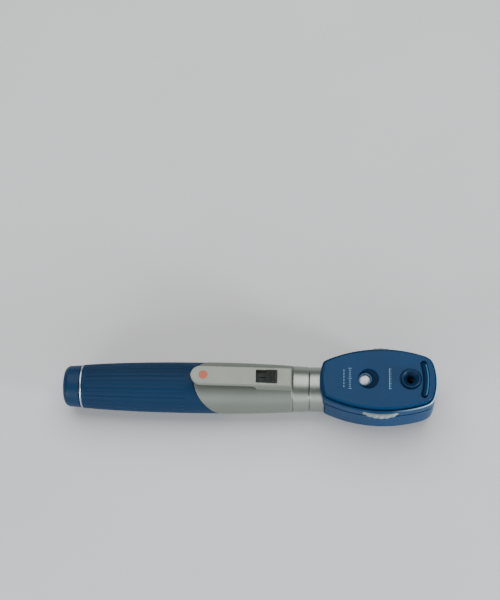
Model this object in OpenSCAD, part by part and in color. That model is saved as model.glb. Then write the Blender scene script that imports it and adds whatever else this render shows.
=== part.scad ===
// Pocket direct ophthalmoscope: a two-cell battery handle with a pocket clip and a slide switch,
// and a screw-on head with a lens dial, an aperture wheel and a lamp.
// Units are millimetres. +X runs from the base cap to the top of the head, +Z is the examiner's side,
// and the instrument lies on its patient side with its lowest point at z = 0.

/* [Handle] */
// Length from the end of the base cap to the seam between handle and head
handle_l = 116.3; // [116.3:0.1:116.5]
// Largest radius of the grip
grip_r = 12.05; // [11.9:0.05:12.05]
// Radius of the grip at the base cap end
grip_end_r = 10.25; // [10.1:0.05:10.3]
// Radius of the grip at the neck
grip_neck_r = 10.95; // [10.9:0.05:11.0]
// Number of flutes in the grip
flutes = 28; // [20:2:32]
// Depth of each flute
flute_d = 0.3; // [0.2:0.05:0.4]

/* [Battery compartment] */
// Diameter of one cell
cell_d = 14.4; // [14.2:0.1:14.5]
// Length of one cell with its nub
cell_l = 50.5; // [50.3:0.1:50.5]
// Inside radius of the battery tube
tube_ri = 7.4; // [7.35:0.05:7.45]
// Outside radius of the battery tube
tube_ro = 8.3; // [8.25:0.05:8.3]

/* [Clip and switch] */
// Width of the pocket clip
clip_w = 9.3; // [9:0.1:9.6]
// Thickness of the sprung arm
clip_t = 1.8; // [1.6:0.1:2]
// Travel of the switch
switch_travel = 4.7; // [4:0.1:4.7]

/* [Head] */
// Half width of the head at its widest
head_w = 15.8; // [15.5:0.1:16]
// Height of the face above the handle's axis
face_z = 14.9; // [14.9:0.1:15.1]
// Depth of the patient side below the handle's axis
back_z = 12.1; // [12.1:0.05:12.2]
// Radius of the patient side's long edges
back_round = 7; // [6:0.5:7]
// Height of the parting line between the two shells
part_z = 7.1; // [7:0.1:7.3]
// Inset of the face plate from the head's outline
plate_in = 1.35; // [1.2:0.05:1.4]
// Wall thickness of the shells
wall = 1.9; // [1.7:0.1:1.9]

/* [Lens dial] */
// Radius of the lens dial
dial_r = 17.05; // [16.95:0.05:17.1]
// Number of lens places in the dial
dial_places = 18; // [12:1:18]
// Radius of the circle that the lenses stand on
lens_circle = 13.5; // [13.3:0.1:13.6]
// Number of grip scallops round the dial
dial_scallops = 36; // [24:1:40]

/* [Aperture wheel] */
// Radius of the aperture wheel
apt_r = 7.2; // [7:0.1:7.2]
// Radius of the circle that the apertures stand on
apt_circle = 4.5; // [4.4:0.1:4.6]

/* [Hidden] */
$fn = 72;
e = 0.01;
head_l = 59.4;                       // seam to the end of the head, at the wall
hx = handle_l - 116.3;               // how far the head moves if the handle's length changes
L = handle_l + head_l;               // overall length
lift = back_z;                       // height of the handle's axis above the surface
// head outline: two long side arcs, a neck arc and a top arc, blended
ocx = 149 + hx; side_cx = 150.5 + hx; side_R = 63; top_R = 28.6; top_x = 175.7 + hx; neck_R = 27; neck_x = 121.2 + hx;
blend_p = 26; neck_p = 100;
dial_x = 149.7 + hx; dial_z0 = 7.3; dial_z1 = 11.0;
eye_x = dial_x + lens_circle;
read_x = 143.7 + hx;
apt_x0 = 137 + hx; apt_x1 = 139.2 + hx; apt_cz = -apt_circle;
screw_xy = [[129.6 + hx, 7.1], [129.6 + hx, -7.1], [169.6 + hx, 6.6], [169.6 + hx, -6.6]];
cut_x = 71.8; cut_k = 0.8;           // oblique seam: x + cut_k z = cut_x
clip_x0 = 61.3; clip_root = 90; clip_x1 = 108.1;
cap_x1 = 7.9; flange_x0 = 8.05; flange_x1 = 9.05;
neck_x0 = handle_l - 7.6;
cell_x0 = 9.55;

function steps(a, s, b) = [for (x = [a:s:b]) x];
// grip radius at x
function br(x) = x < 68 ? grip_r - (grip_r - grip_end_r) * pow((68 - x) / 59.4, 2.6)
                        : grip_r - (grip_r - grip_neck_r) * pow((x - 68) / 39, 2.2);
function shell_r(x) = br(x) + 0.12;
function clip_z(x) = 17.4 - 0.0427 * (x - clip_x0);
// distance from [ocx, 0] to a circle at [cx, cy], radius R, along angle a
function ray(cx, cy, R, a) = let (dx = ocx - cx, dy = -cy, b = dx * cos(a) + dy * sin(a), c = dx * dx + dy * dy - R * R) -b + sqrt(b * b - c);
// blended outline radius at angle a, inset by d
function orad(a, d) = let (
  r1 = ray(side_cx, head_w - side_R, side_R - d, a), r2 = ray(side_cx, side_R - head_w, side_R - d, a),
  r3 = ray(top_x - top_R, 0, top_R - d, a), r4 = cos(a) < 0 ? ray(neck_x + neck_R, 0, neck_R - d, a) : 1000,
  body = pow(pow(r1, -blend_p) + pow(r2, -blend_p) + pow(r3, -blend_p), -1 / blend_p))
  pow(pow(body, -neck_p) + pow(r4, -neck_p), -1 / neck_p);

module place() { translate([-L / 2, 0, lift]) children(); }
// revolve a profile of [x, r] points about the handle's axis
module turned(p) { rotate([0, 90, 0]) rotate([0, 0, 90]) rotate_extrude() polygon([for (q = p) [q[1], q[0]]]); }
// cylinder along X from x0 to x1
module xcyl(x0, x1, r) { translate([x0, 0, 0]) rotate([0, 90, 0]) cylinder(r = r, h = x1 - x0); }
// extrude an [x, z] outline to width w
module slab(p, w) { rotate([90, 0, 0]) linear_extrude(w, center = true) polygon(p); }
module block(x0, x1, y0, y1, z0, z1) { translate([x0, y0, z0]) cube([x1 - x0, y1 - y0, z1 - z0]); }
// solid through levels of [z, inset, extra share of the inset at the top end], round the head's outline
module loft(lv, n) {
  m = len(lv);
  pts = [for (l = lv) for (i = [0:n - 1]) let (a = 360 * i / n, k = len(l) > 2 ? 1 + l[2] * pow(max(0, cos(a)), 3) : 1, r = orad(a, l[1] * k)) [ocx + r * cos(a), r * sin(a), l[0]]];
  polyhedron(points = pts, faces = concat(
    [[for (i = [0:n - 1]) i]], [[for (i = [n - 1:-1:0]) (m - 1) * n + i]],
    [for (k = [0:m - 2]) for (i = [0:n - 1]) let (j = (i + 1) % n) [k * n + i, (k + 1) * n + i, (k + 1) * n + j]],
    [for (k = [0:m - 2]) for (i = [0:n - 1]) let (j = (i + 1) % n) [k * n + i, (k + 1) * n + j, k * n + j]]));
}
// tube swept along points
module sweep(path, r, n) {
  m = len(path);
  function unit(v) = v / norm(v);
  rings = [for (k = [0:m - 1]) let (
    t = unit(path[min(k + 1, m - 1)] - path[max(k - 1, 0)]), u = unit(cross(t, [1, 0.013, 0.021])), v = cross(t, u))
    for (i = [0:n - 1]) path[k] + r * (cos(360 * i / n) * u + sin(360 * i / n) * v)];
  polyhedron(points = rings, faces = concat(
    [[for (i = [n - 1:-1:0]) i]], [[for (i = [0:n - 1]) (m - 1) * n + i]],
    [for (k = [0:m - 2]) for (i = [0:n - 1]) let (j = (i + 1) % n) [k * n + i, k * n + j, (k + 1) * n + j, (k + 1) * n + i]]));
}

// ---------------------------------------------------------------- handle
module base_cap() color([0.13, 0.29, 0.45]) difference() {
  turned(concat([[0, 0], [0.35, 5.6], [0, 5.9], [0, 6.55]],
    [for (t = [15:15:90]) [3.2 * (1 - cos(t)), 6.55 + 3.2 * sin(t)]],
    [[7.6, 9.98], [cap_x1, 9.8], [cap_x1, 9.0], [7.0, 9.0], [7.0, 8.45], [2.3, 8.45], [2.3, 0]]));
  block(-1, 0.75, -4.2, 4.2, -0.7, 0.7);
}
module spring_plate() color([0.78, 0.78, 0.75]) turned([[2.35, 0], [2.35, 6.8], [3.05, 6.8], [3.05, 0]]);
module battery_spring() color([0.8, 0.8, 0.78]) {
  n = 84;
  sweep([for (i = [0:n]) let (a = 360 * 4 * i / n, r = 5.6 - 2.4 * i / n) [3.5 + 5.6 * i / n, r * cos(a), r * sin(a)]], 0.4, 8);
}
module battery_tube() color([0.72, 0.74, 0.76])
  turned([[3.2, tube_ri], [3.2, tube_ro - 0.4], [3.6, tube_ro], [6.6, tube_ro], [flange_x0, tube_ro], [flange_x0, 10.15],
    [flange_x0 + 0.2, 10.32], [flange_x1 - 0.2, 10.32], [flange_x1, 10.15], [flange_x1, tube_ro], [110.1, tube_ro], [110.1, tube_ri]]);
module tube_seal() color([0.1, 0.1, 0.1]) rotate([0, 90, 0]) translate([0, 0, 7.5]) rotate_extrude() translate([tube_ro + 0.34, 0]) circle(r = 0.33, $fn = 24);
module cell(x) {
  turned([[x, 0], [x, cell_d / 2 - 0.6], [x + 0.5, cell_d / 2], [x + cell_l - 1.6, cell_d / 2], [x + cell_l - 1.1, cell_d / 2 - 0.6],
    [x + cell_l - 1.1, 2.7], [x + cell_l - 0.05, 2.7], [x + cell_l - 0.05, 0]]);
}
module battery_lower() color([0.25, 0.25, 0.27]) cell(cell_x0);
module battery_upper() color([0.25, 0.25, 0.27]) cell(cell_x0 + cell_l);
module grip_sleeve() color([0.12, 0.27, 0.42]) difference() {
  intersection() {
    turned(concat([[flange_x1, tube_ro + 0.05], [flange_x1, br(9) - 0.3]], [for (x = concat([9.4], steps(14, 5, 79), [84])) [x, br(x)]],
      [[84, br(84) - 2.2]], [for (x = [80:-8:64]) [x, br(x) - 2.2]],
      [[61.5, tube_ro + 0.05], [59.5, tube_ro + 0.05], [58, br(58) - 2.2]], [for (x = [50:-8:18]) [x, br(x) - 2.2]],
      [[14.5, br(14.5) - 2.2], [13, tube_ro + 0.05]]));
    slab([[0, -20], [cut_x + 16 - 0.06, -20], [cut_x - 16 - 0.06, 20], [0, 20]], 60);
  }
  // flutes, from just above the base to below the seam
  intersection() {
    turned(concat([[10.3, br(10.3) + 2]], [for (x = concat([10.3], steps(10.9, 6, 56), [58.2, 58.8])) [x, br(x) - (x > 10.5 && x < 58.5 ? flute_d : 0)]], [[58.8, 14]]));
    for (i = [0:flutes / 2 - 1]) rotate([360 * (i + 0.5) / flutes, 0, 0]) block(9, 60, -0.28, 0.28, -20, 20);
  }
}
module upper_shell() color([0.62, 0.65, 0.62]) difference() {
  intersection() {
    turned(concat([[60, shell_r(60)]], [for (x = concat(steps(66, 6, 102), [107.8])) [x, shell_r(x)]], [[neck_x0 - 0.1, shell_r(108) - 0.25],
      [neck_x0 - 0.1, 9.05], [103, 9.05], [102, br(102) - 1.9], [96, br(96) - 1.9], [90, br(90) - 1.9], [88, br(88) - 1.9], [87, tube_ro + 0.05],
      [85, tube_ro + 0.05], [84, br(84) - 1.9], [76, br(76) - 1.9], [68, br(68) - 1.9], [60, br(60) - 1.9]]));
    slab([[120, -20], [cut_x + 16 + 0.06, -20], [cut_x - 16 + 0.06, 20], [120, 20]], 60);
  }
  block(91.6, 103.8, -2.6, 2.6, 4, 20);
}
module clip_base() color([0.68, 0.7, 0.67]) difference() {
  slab([[clip_root, 6], [clip_x1, 6], [clip_x1, clip_z(clip_x1) - 0.3], [clip_x1 - 0.3, clip_z(clip_x1)], [clip_root, clip_z(clip_root)],
    [clip_root, clip_z(clip_root) - clip_t - 0.4], [clip_root + 1.6, 12.6], [clip_root + 1.6, 6]], clip_w);
  turned(concat([[80, 0]], [for (x = concat([80], steps(84, 6, 102), [107.8, 112])) [x, shell_r(x) + 0.03]], [[112, 0]]));
  block(91.6, 101.6, -3.25, 3.25, 13.25, 20);
  block(91.6, 105, -2.6, 2.6, 4, 13.3);
}
module clip_arm() color([0.68, 0.7, 0.67]) intersection() {
  union() {
    slab([[clip_x0, clip_z(clip_x0)], [clip_root - 0.05, clip_z(clip_root)], [clip_root - 0.05, clip_z(clip_root) - clip_t],
      [70, clip_z(70) - clip_t], [68.4, 13.0], [66.6, 12.75], [65, 13.3], [clip_x0, clip_z(clip_x0) - clip_t]], clip_w);
  }
  union() {
    translate([clip_x0 + clip_w / 2, 0, 0]) cylinder(r = clip_w / 2, h = 30);
    block(clip_x0 + clip_w / 2, clip_root, -clip_w / 2, clip_w / 2, 0, 30);
  }
  union() { block(50, 66.9, -20, 20, 0, 30); block(66.8, 100, -20, 20, 0, 30); }
}
module clip_badge() color([0.72, 0.45, 0.36]) translate([67.2, 0, clip_z(67.2)]) rotate([0, atan(0.0427), 0]) cylinder(r = 2.1, h = 0.12);
module switch_bed() color([0.12, 0.12, 0.12]) difference() {
  block(91.7, 101.5, -3.2, 3.2, 13.3, 14.3);
  block(93.0, 99.9, -0.85, 0.85, 10, 20);
}
module switch_button() color([0.06, 0.07, 0.06]) {
  difference() {
    block(96.5, 101.4, -3.1, 3.1, 14.4, 17.0);
    for (i = [0:4]) translate([97.4 + 0.8 * i, 0, 17.1]) rotate([90, 0, 0]) cylinder(r = 0.3, h = 8, center = true, $fn = 24);
  }
  block(98.1, 99.7, -0.7, 0.7, 11.8, 14.5);
}
module switch_contact() color([0.8, 0.65, 0.3]) difference() {
  block(96.9, 100.9, -1.7, 1.7, 11.2, 12.2);
  block(98.1, 99.7, -0.7, 0.7, 11.8, 13);
}
module contact_strip() color([0.8, 0.65, 0.3])
  slab([[92, 8.45], [102.6, 8.45], [102.9, 8.8], [102.5, 9.1], [97, 10.3], [92.4, 10.85], [92.2, 10.55], [97, 9.95], [100.8, 8.85], [92, 8.85]], 3);
module contact_insulator() color([0.1, 0.1, 0.1]) difference() {
  turned([[110.7, 1.25], [110.7, 3.4], [112, 3.4], [112, 5.95], [114.6, 5.95], [114.6, 1.25]]);
}
module contact_pin() color([0.8, 0.65, 0.3]) turned([[110.65, 0], [110.65, 1.2], [116.9, 1.2], [117.4, 0.7], [117.4, 0]]);
module neck_collar() color([0.7, 0.71, 0.7])
  turned([[104, tube_ro + 0.05], [104, 9.0], [neck_x0, 9.0], [neck_x0, 10.72], [neck_x0 + 0.2, 10.86], [handle_l - 0.3, 10.5], [handle_l, 10.3],
    [handle_l, 8.4], [120.5 + hx, 8.4], [121 + hx, 8.0], [121 + hx, 6.0], [110.2, 6.0], [110.2, tube_ro + 0.05]]);

// ---------------------------------------------------------------- head
module head_collar() color([0.7, 0.71, 0.7]) translate([hx, 0, 0])
  turned([[116.45, 8.5], [116.45, 10.28], [116.7, 10.46], [123.2, 10.46], [123.2, 5.2], [121.6, 5.2], [121.6, 8.5]]);
module lamp_base() color([0.75, 0.72, 0.62]) translate([hx, 0, 0]) turned([[117.5, 0], [117.5, 1.6], [117.9, 1.9], [117.9, 4.8], [124.9, 4.8], [124.9, 0]]);
module lamp_glass() color([0.9, 0.95, 1, 0.4]) translate([hx, 0, 0])
  turned(concat([[124.9, 2.6], [124.9, 3.0]], [for (t = [0:15:90]) [128.2 + 3 * sin(t), 3.0 * cos(t)]], [for (t = [90:-15:0]) [128.2 + 2.6 * sin(t), 2.6 * cos(t)]]));
module lamp_filament() color([0.5, 0.5, 0.5]) translate([hx, 0, 0]) {
  translate([128.4, 0, 0]) rotate([90, 0, 0]) cylinder(r = 0.35, h = 2.6, center = true, $fn = 24);
  for (s = [-1, 1]) translate([124.9, 1.0 * s, 0]) rotate([0, 90, 0]) cylinder(r = 0.15, h = 3.5, $fn = 24);
}
module lamp_socket() color([0.1, 0.1, 0.1]) translate([hx, 0, 0]) turned([[123.3, 5.1], [123.3, 7.9], [126.6, 7.9], [126.6, 6.2], [125.2, 5.1]]);
// cavity shared by both shells
module cavity(z0, z1) {
  intersection() {
    loft([[z0, 5.6], [z0 + 1.4, 3.4], [z0 + 4.1, 2.1], [z0 + 5.5, wall], [z1, wall]], 48);
    block(125 + hx, 200, -30, 30, -30, 30);
  }
}
module dial_room() { translate([dial_x, 0, 6.9]) cylinder(r = dial_r + 0.35, h = 4.6, $fn = 96); }
module rear_shell() color([0.16, 0.33, 0.5]) difference() {
  union() {
    difference() {
      loft(concat([for (t = [0:15:90]) [-back_z + back_round * (1 - cos(t)), back_round * (1 - sin(t)), 0.6]], [[part_z - 0.05, 0]]), 96);
      cavity(-8.6, 30);
    }
    intersection() {
      for (p = screw_xy) translate([p[0], p[1], -back_z + 0.5]) cylinder(r = 2.1, h = back_z + part_z - 0.55, $fn = 36);
      loft([[-back_z + 3, 4], [-5, 1], [part_z - 0.05, 1]], 48);
    }
  }
  // finger hollow on the patient side
  translate([133 + hx, 0, -back_z + 1.6 - 60]) rotate([90, 0, 0]) cylinder(r = 60, h = 60, center = true, $fn = 96);
  // lens dial
  dial_room();
  // neck
  xcyl(100, 123.25 + hx, 10.5);
  xcyl(100, 126 + hx, 7.95);
  // aperture wheel
  translate([0, 0, apt_cz]) xcyl(apt_x0 - 0.3, apt_x1 + 0.3, apt_r + 0.35);
  // patient window: aperture and rebate
  translate([eye_x - 3.6, 0, 0]) { block(-5.6, 5.6, -3.9, 3.9, -20, 0); block(-6.4, 6.4, -4.7, 4.7, -11.3, 0); }
  for (p = screw_xy) translate([p[0], p[1], -20]) { cylinder(r = 0.95, h = 40, $fn = 24); cylinder(r = 1.95, h = p[0] < 150 ? 12 : 11, $fn = 24); }
}
module front_shell() color([0.16, 0.33, 0.5]) difference() {
  union() {
    difference() {
      loft([[part_z + 0.05, 0], [face_z - 2.3, 0], [face_z - 2.05, 0.1], [face_z - 1.92, 0.35], [face_z - 2, 0.6], [face_z - 2.5, 0.7], [face_z - 2.5, plate_in + 0.05],
        [face_z - 0.5, plate_in], [face_z - 0.14, plate_in + 0.15], [face_z, plate_in + 0.5]], 96);
      cavity(0, face_z - 2.6);
    }
    intersection() {
      for (p = screw_xy) translate([p[0], p[1], part_z + 0.05]) cylinder(r = 2.1, h = face_z - 2.4 - part_z, $fn = 36);
      loft([[part_z + 0.05, 1.6], [face_z - 2.3, 1.6]], 48);
    }
    translate([dial_x, 0, 11.3]) cylinder(r = 2.6, h = 2.4, $fn = 36);
  }
  translate([dial_x, 0, 6.9]) cylinder(r = dial_r + 0.35, h = 4.4, $fn = 96);
  translate([dial_x, 0, 0]) cylinder(r = 1.05, h = 13.1, $fn = 36);
  xcyl(100, 123.25 + hx, 10.5);
  xcyl(100, 126 + hx, 7.95);
  // viewing hole and the eyecup's seat
  translate([eye_x, 0, 0]) cylinder(r = 3.4, h = 30, $fn = 48);
  translate([eye_x, 0, face_z - 0.9]) cylinder(r = 4.97, h = 3, $fn = 64);
  // slanted pocket of the readout, and the window's hole
  hull() {
    translate([read_x, 0, face_z + 0.01]) cylinder(r = 4.79, h = 0.02, $fn = 48);
    translate([read_x - 1.5, 0, face_z - 1.5]) rotate([0, -9, 0]) cylinder(r = 3.3, h = 0.02, $fn = 48);
  }
  translate([read_x - 1.5, 0, 0]) cylinder(r = 2.4, h = 30, $fn = 48);
  // channel of the brow rest
  intersection() {
    translate([170.3 - 28 + hx, 0, face_z - 1.7]) difference() { cylinder(r = 29.55, h = 3, $fn = 96); translate([0, 0, -1]) cylinder(r = 26.45, h = 6, $fn = 96); }
    block(160, 180, -7.7, 7.7, 0, 30);
  }
  for (s = [-1, 1]) translate([170.3 - 28 + sqrt(28 * 28 - 7.7 * 7.7) + hx, s * 7.7, face_z - 1.7]) cylinder(r = 1.55, h = 3, $fn = 36);
  for (p = screw_xy) translate([p[0], p[1], 0]) cylinder(r = 0.72, h = 12.9, $fn = 24);
}
module eyecup() color([0.07, 0.14, 0.22]) translate([eye_x, 0, 0]) rotate_extrude()
  polygon([[1.7, 11.9], [3.35, 11.9], [3.35, face_z - 0.85], [4.5, face_z - 0.85], [4.5, face_z + 0.9], [4.35, face_z + 1.35], [4.1, face_z + 1.5], [3.8, face_z + 1.35], [2.2, face_z - 0.6], [1.7, face_z - 1.2]]);
module brow_rest() color([0.1, 0.22, 0.35]) intersection() {
  translate([170.3 - 28 + hx, 0, 0]) rotate_extrude($fn = 96)
    polygon([[26.75, face_z - 1.65], [26.75, face_z - 0.9], [27.2, face_z - 0.6], [28.4, face_z - 0.1], [29.0, face_z + 0.15], [29.4, face_z - 0.1], [29.4, face_z - 1.65]]);
  block(160, 180, -7.8, 7.8, 0, 30);
}
module readout_bezel() color([0.16, 0.3, 0.45]) translate([read_x - 1.5, 0, face_z - 1.42]) rotate([0, -9, 0]) difference() {
  cylinder(r = 3.0, h = 0.5, $fn = 48);
  translate([0, 0, -1]) cylinder(r = 2.36, h = 4, $fn = 48);
}
module readout_lens() color([0.85, 0.88, 0.9, 0.5]) translate([read_x - 1.5, 0, face_z - 2.2]) rotate([0, -9, 0]) intersection() {
  translate([0, 0, -0.2]) cylinder(r = 2.2, h = 3, $fn = 48);
  translate([0, 0, 1.35 - 4]) sphere(r = 4, $fn = 96);
  block(-5, 5, -5, 5, 0, 5);
}
module lens_dial() color([0.62, 0.66, 0.66]) translate([dial_x, 0, 0]) difference() {
  rotate_extrude($fn = 96) polygon([[1.3, 8.2], [10.9, 8.2], [11.4, 7.6], [15.5, 7.6], [15.8, dial_z0], [dial_r - 0.3, dial_z0], [dial_r, dial_z0 + 0.3], [dial_r, dial_z1 - 0.3],
    [dial_r - 0.3, dial_z1], [15.8, dial_z1], [15.5, 10.6], [15.2, 10.2], [2.6, 10.2], [2.6, 11.0], [1.3, 11.0]]);
  for (i = [0:dial_places - 1]) rotate([0, 0, 360 * i / dial_places]) translate([lens_circle, 0, 0]) cylinder(r = 1.75, h = 20, $fn = 36);
  for (i = [0:dial_scallops - 1]) rotate([0, 0, 360 * (i + 0.5) / dial_scallops]) translate([dial_r + 0.65, 0, 0]) cylinder(r = 1.0, h = 20, $fn = 24);
  for (i = [0:dial_places - 1]) rotate([0, 0, 360 * (i + 0.5) / dial_places]) translate([8.2, 0, 7.75]) sphere(r = 0.7, $fn = 24);
}
module dial_lenses() color([0.85, 0.92, 0.95, 0.5]) translate([dial_x, 0, 0])
  for (i = [1:dial_places - 1]) rotate([0, 0, 360 * i / dial_places]) translate([lens_circle, 0, 0]) intersection() {
    cylinder(r = 1.73, h = 20, $fn = 36);
    translate([0, 0, 9.8 - 6]) sphere(r = 6, $fn = 48);
    translate([0, 0, 8.0 + 6]) sphere(r = 6, $fn = 48);
  }
module dial_axle() color([0.75, 0.75, 0.75]) translate([dial_x, 0, 0]) union() { translate([0, 0, 3.6]) cylinder(r = 1.0, h = 9.4, $fn = 36); translate([0, 0, 6.95]) cylinder(r = 1.9, h = 0.6, $fn = 36); translate([0, 0, 6.95]) cylinder(r = 1.24, h = 4.2, $fn = 36); }
module detent_ball() color([0.8, 0.8, 0.8]) translate([dial_x - 8.2 * cos(10), 8.2 * sin(10), 7.42]) sphere(r = 0.7, $fn = 36);
module detent_spring() color([0.8, 0.8, 0.78]) translate([dial_x - 8.2 * cos(10), 8.2 * sin(10), 0]) {
  n = 48;
  sweep([for (i = [0:n]) let (a = 360 * 4 * i / n) [0.5 * cos(a), 0.5 * sin(a), 4.75 + 1.75 * i / n]], 0.12, 8);
}
module optics_chassis() color([0.1, 0.1, 0.1]) difference() {
  translate([hx, 0, 0]) slab([[132, -5.6], [150.6, -5.6], [160.2, 3.2], [160.2, 6.8], [132, 6.8]], 11.8);
  translate([hx, 0, 0]) { xcyl(131, 158, 3.4); xcyl(131, 134.9, 4.5); xcyl(143, 145.4, 4.5); }
  // open side for the lens seats and the beam down to the mirror
  translate([hx, 0, 0]) { block(143, 145.4, -4.5, 4.5, -20, 0); block(131, 134.9, -4.5, 4.5, -20, 0); }
  // aperture wheel
  translate([apt_x0 - 0.3, 0, apt_cz]) rotate([0, 90, 0]) cylinder(r = apt_r + 0.4, h = apt_x1 - apt_x0 + 0.6, $fn = 72);
  translate([hx, 0, apt_cz]) xcyl(134, 142.6, 0.86);
  // viewing path past the mirror, and room for it
  translate([hx, 0, 0]) slab([[152.2, -8], [152.2, -4.6], [158.4, 1.6], [158.4, 3.4], [152, 3.4], [150.4, 1.8], [150.4, -8]], 8.6);
  translate([dial_x, 0, 3.0]) cylinder(r = 1.04, h = 5, $fn = 36);
  translate([dial_x - 8.2 * cos(10), 8.2 * sin(10), 4.55]) cylinder(r = 0.75, h = 5, $fn = 24);
}
// biconvex lens on the axis: edge radius r, thickness t, surface radius R
module glass_disc(x0, t, r, R) {
  m = asin(r / R);
  turned(concat([for (k = [0:6]) [x0 + R - R * cos(m * k / 6), R * sin(m * k / 6)]], [for (k = [6:-1:0]) [x0 + t - R + R * cos(m * k / 6), R * sin(m * k / 6)]]));
}
module condenser_lens() color([0.85, 0.92, 0.95, 0.5]) translate([hx, 0, 0]) glass_disc(132.1, 2.7, 4.4, 9);
module projection_lens() color([0.85, 0.92, 0.95, 0.5]) translate([hx, 0, 0]) glass_disc(143.05, 2.2, 4.4, 12);
module mirror() color([0.85, 0.87, 0.9]) translate([hx, 0, 0]) slab([[153.0, -3.9], [158.2, 1.3], [158.2, 2.3], [152.3, -3.6]], 7);
module aperture_wheel() color([0.12, 0.12, 0.12]) translate([apt_x0, 0, apt_cz]) rotate([0, 90, 0]) difference() {
  cylinder(r = apt_r, h = apt_x1 - apt_x0, $fn = 72);
  translate([0, 0, -1]) cylinder(r = 0.9, h = 5, $fn = 36);
  // rest place faces the beam: big spot, small spot, half spot, cross, filter
  for (i = [0:4]) rotate([0, 0, 180 + 72 * i]) translate([apt_circle, 0, -1]) {
    if (i == 0) cylinder(r = 1.35, h = 5, $fn = 36);
    if (i == 1) cylinder(r = 0.75, h = 5, $fn = 36);
    if (i == 2) difference() { cylinder(r = 1.35, h = 5, $fn = 36); translate([0, -3, -1]) cube([3, 6, 8]); }
    if (i == 3) union() { translate([-1.2, -0.2, 0]) cube([2.4, 0.4, 5]); translate([-0.2, -1.2, 0]) cube([0.4, 2.4, 5]); }
    if (i == 4) cylinder(r = 1.4, h = 5, $fn = 36);
  }
  for (i = [0:29]) rotate([0, 0, 12 * i]) translate([apt_r + 0.25, 0, -1]) cylinder(r = 0.5, h = 5, $fn = 24);
}
module redfree_filter() color([0.2, 0.65, 0.35, 0.6]) translate([apt_x0 + 0.5, 0, apt_cz]) rotate([0, 90, 0]) rotate([0, 0, 180 + 72 * 4]) translate([apt_circle, 0, 0]) cylinder(r = 1.38, h = 0.8, $fn = 36);
module aperture_axle() color([0.75, 0.75, 0.75]) translate([hx, 0, apt_cz]) xcyl(135.1, 142.5, 0.84);
module patient_window() color([0.85, 0.92, 0.95, 0.4]) translate([eye_x - 3.6, 0, 0]) block(-6.35, 6.35, -4.65, 4.65, -11.25, -10.05);
module shell_screws() color([0.7, 0.7, 0.7]) for (p = screw_xy) translate([p[0], p[1], p[0] < 150 ? -8.03 : -9.03]) difference() {
  union() { translate([0, 0, -1.3]) cylinder(r = 1.8, h = 1.28, $fn = 36); translate([0, 0, -0.1]) cylinder(r = 0.7, h = p[0] < 150 ? 20.6 : 21.6, $fn = 24); }
  translate([-0.25, -1.2, -2]) cube([0.5, 2.4, 1.3]); translate([-1.2, -0.25, -2]) cube([2.4, 0.5, 1.3]);
}

place() base_cap();
place() spring_plate();
place() battery_spring();
place() battery_tube();
place() tube_seal();
place() battery_lower();
place() battery_upper();
place() grip_sleeve();
place() upper_shell();
place() clip_base();
place() clip_arm();
place() clip_badge();
place() switch_bed();
place() switch_button();
place() switch_contact();
place() contact_strip();
place() contact_insulator();
place() contact_pin();
place() neck_collar();
place() head_collar();
place() lamp_base();
place() lamp_glass();
place() lamp_filament();
place() lamp_socket();
place() rear_shell();
place() front_shell();
place() eyecup();
place() brow_rest();
place() readout_bezel();
place() readout_lens();
place() lens_dial();
place() dial_lenses();
place() dial_axle();
place() detent_ball();
place() detent_spring();
place() optics_chassis();
place() condenser_lens();
place() projection_lens();
place() mirror();
place() aperture_wheel();
place() redfree_filter();
place() aperture_axle();
place() patient_window();
place() shell_screws();
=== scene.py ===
import bpy, bmesh, math
import numpy as np
from mathutils import Vector, Matrix


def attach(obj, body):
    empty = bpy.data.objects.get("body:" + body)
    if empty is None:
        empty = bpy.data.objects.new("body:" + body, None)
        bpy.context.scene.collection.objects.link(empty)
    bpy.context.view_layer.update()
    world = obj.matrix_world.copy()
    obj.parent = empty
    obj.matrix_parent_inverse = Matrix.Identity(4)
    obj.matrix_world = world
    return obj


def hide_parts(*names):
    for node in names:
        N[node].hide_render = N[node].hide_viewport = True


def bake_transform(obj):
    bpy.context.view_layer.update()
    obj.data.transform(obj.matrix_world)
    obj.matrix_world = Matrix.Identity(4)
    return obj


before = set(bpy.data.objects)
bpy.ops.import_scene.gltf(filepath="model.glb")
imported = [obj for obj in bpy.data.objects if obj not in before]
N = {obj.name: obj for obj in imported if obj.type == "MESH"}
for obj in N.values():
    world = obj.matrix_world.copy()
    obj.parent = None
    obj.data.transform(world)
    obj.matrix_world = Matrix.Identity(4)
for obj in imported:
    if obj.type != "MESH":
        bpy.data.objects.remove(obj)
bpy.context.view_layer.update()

# ------------------------------------------------------------------ the frame's own numbers, in millimetres
L, LIFT = 175.7, 12.1          # overall length; height of the handle's axis
SEAM = 116.3                   # seam between handle and head
GR, GE, GN = 12.05, 10.25, 10.95
FACE, BACK, PART, WALL, PIN = 14.9, 12.1, 7.1, 1.9, 1.35
HW, SIDE_R, SIDE_CX, TOP_R, TOP_X, NECK_R, NECK_X, OCX = 15.8, 63.0, 150.5, 28.6, 175.7, 27.0, 121.2, 149.0
DIAL_X, DIAL_R, EYE_X, READ_X = 149.7, 17.05, 163.2, 143.7
CUT_X, CUT_K = 71.8, 0.8
CLIP0, ROOT, CLIP1, CLIP_W = 61.3, 90.0, 108.1, 9.3
MM = 0.001


def br(x):
    x = np.asarray(x, float)
    lo = GR - (GR - GE) * np.power(np.clip(68 - x, 0, None) / 59.4, 2.6)
    hi = GR - (GR - GN) * np.power(np.clip(x - 68, 0, None) / 39, 2.2)
    return np.where(x < 68, lo, hi)


def shell_r(x):
    return br(x) + 0.12


def clip_z(x):
    return 17.4 - 0.0427 * (np.asarray(x, float) - CLIP0)


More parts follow.
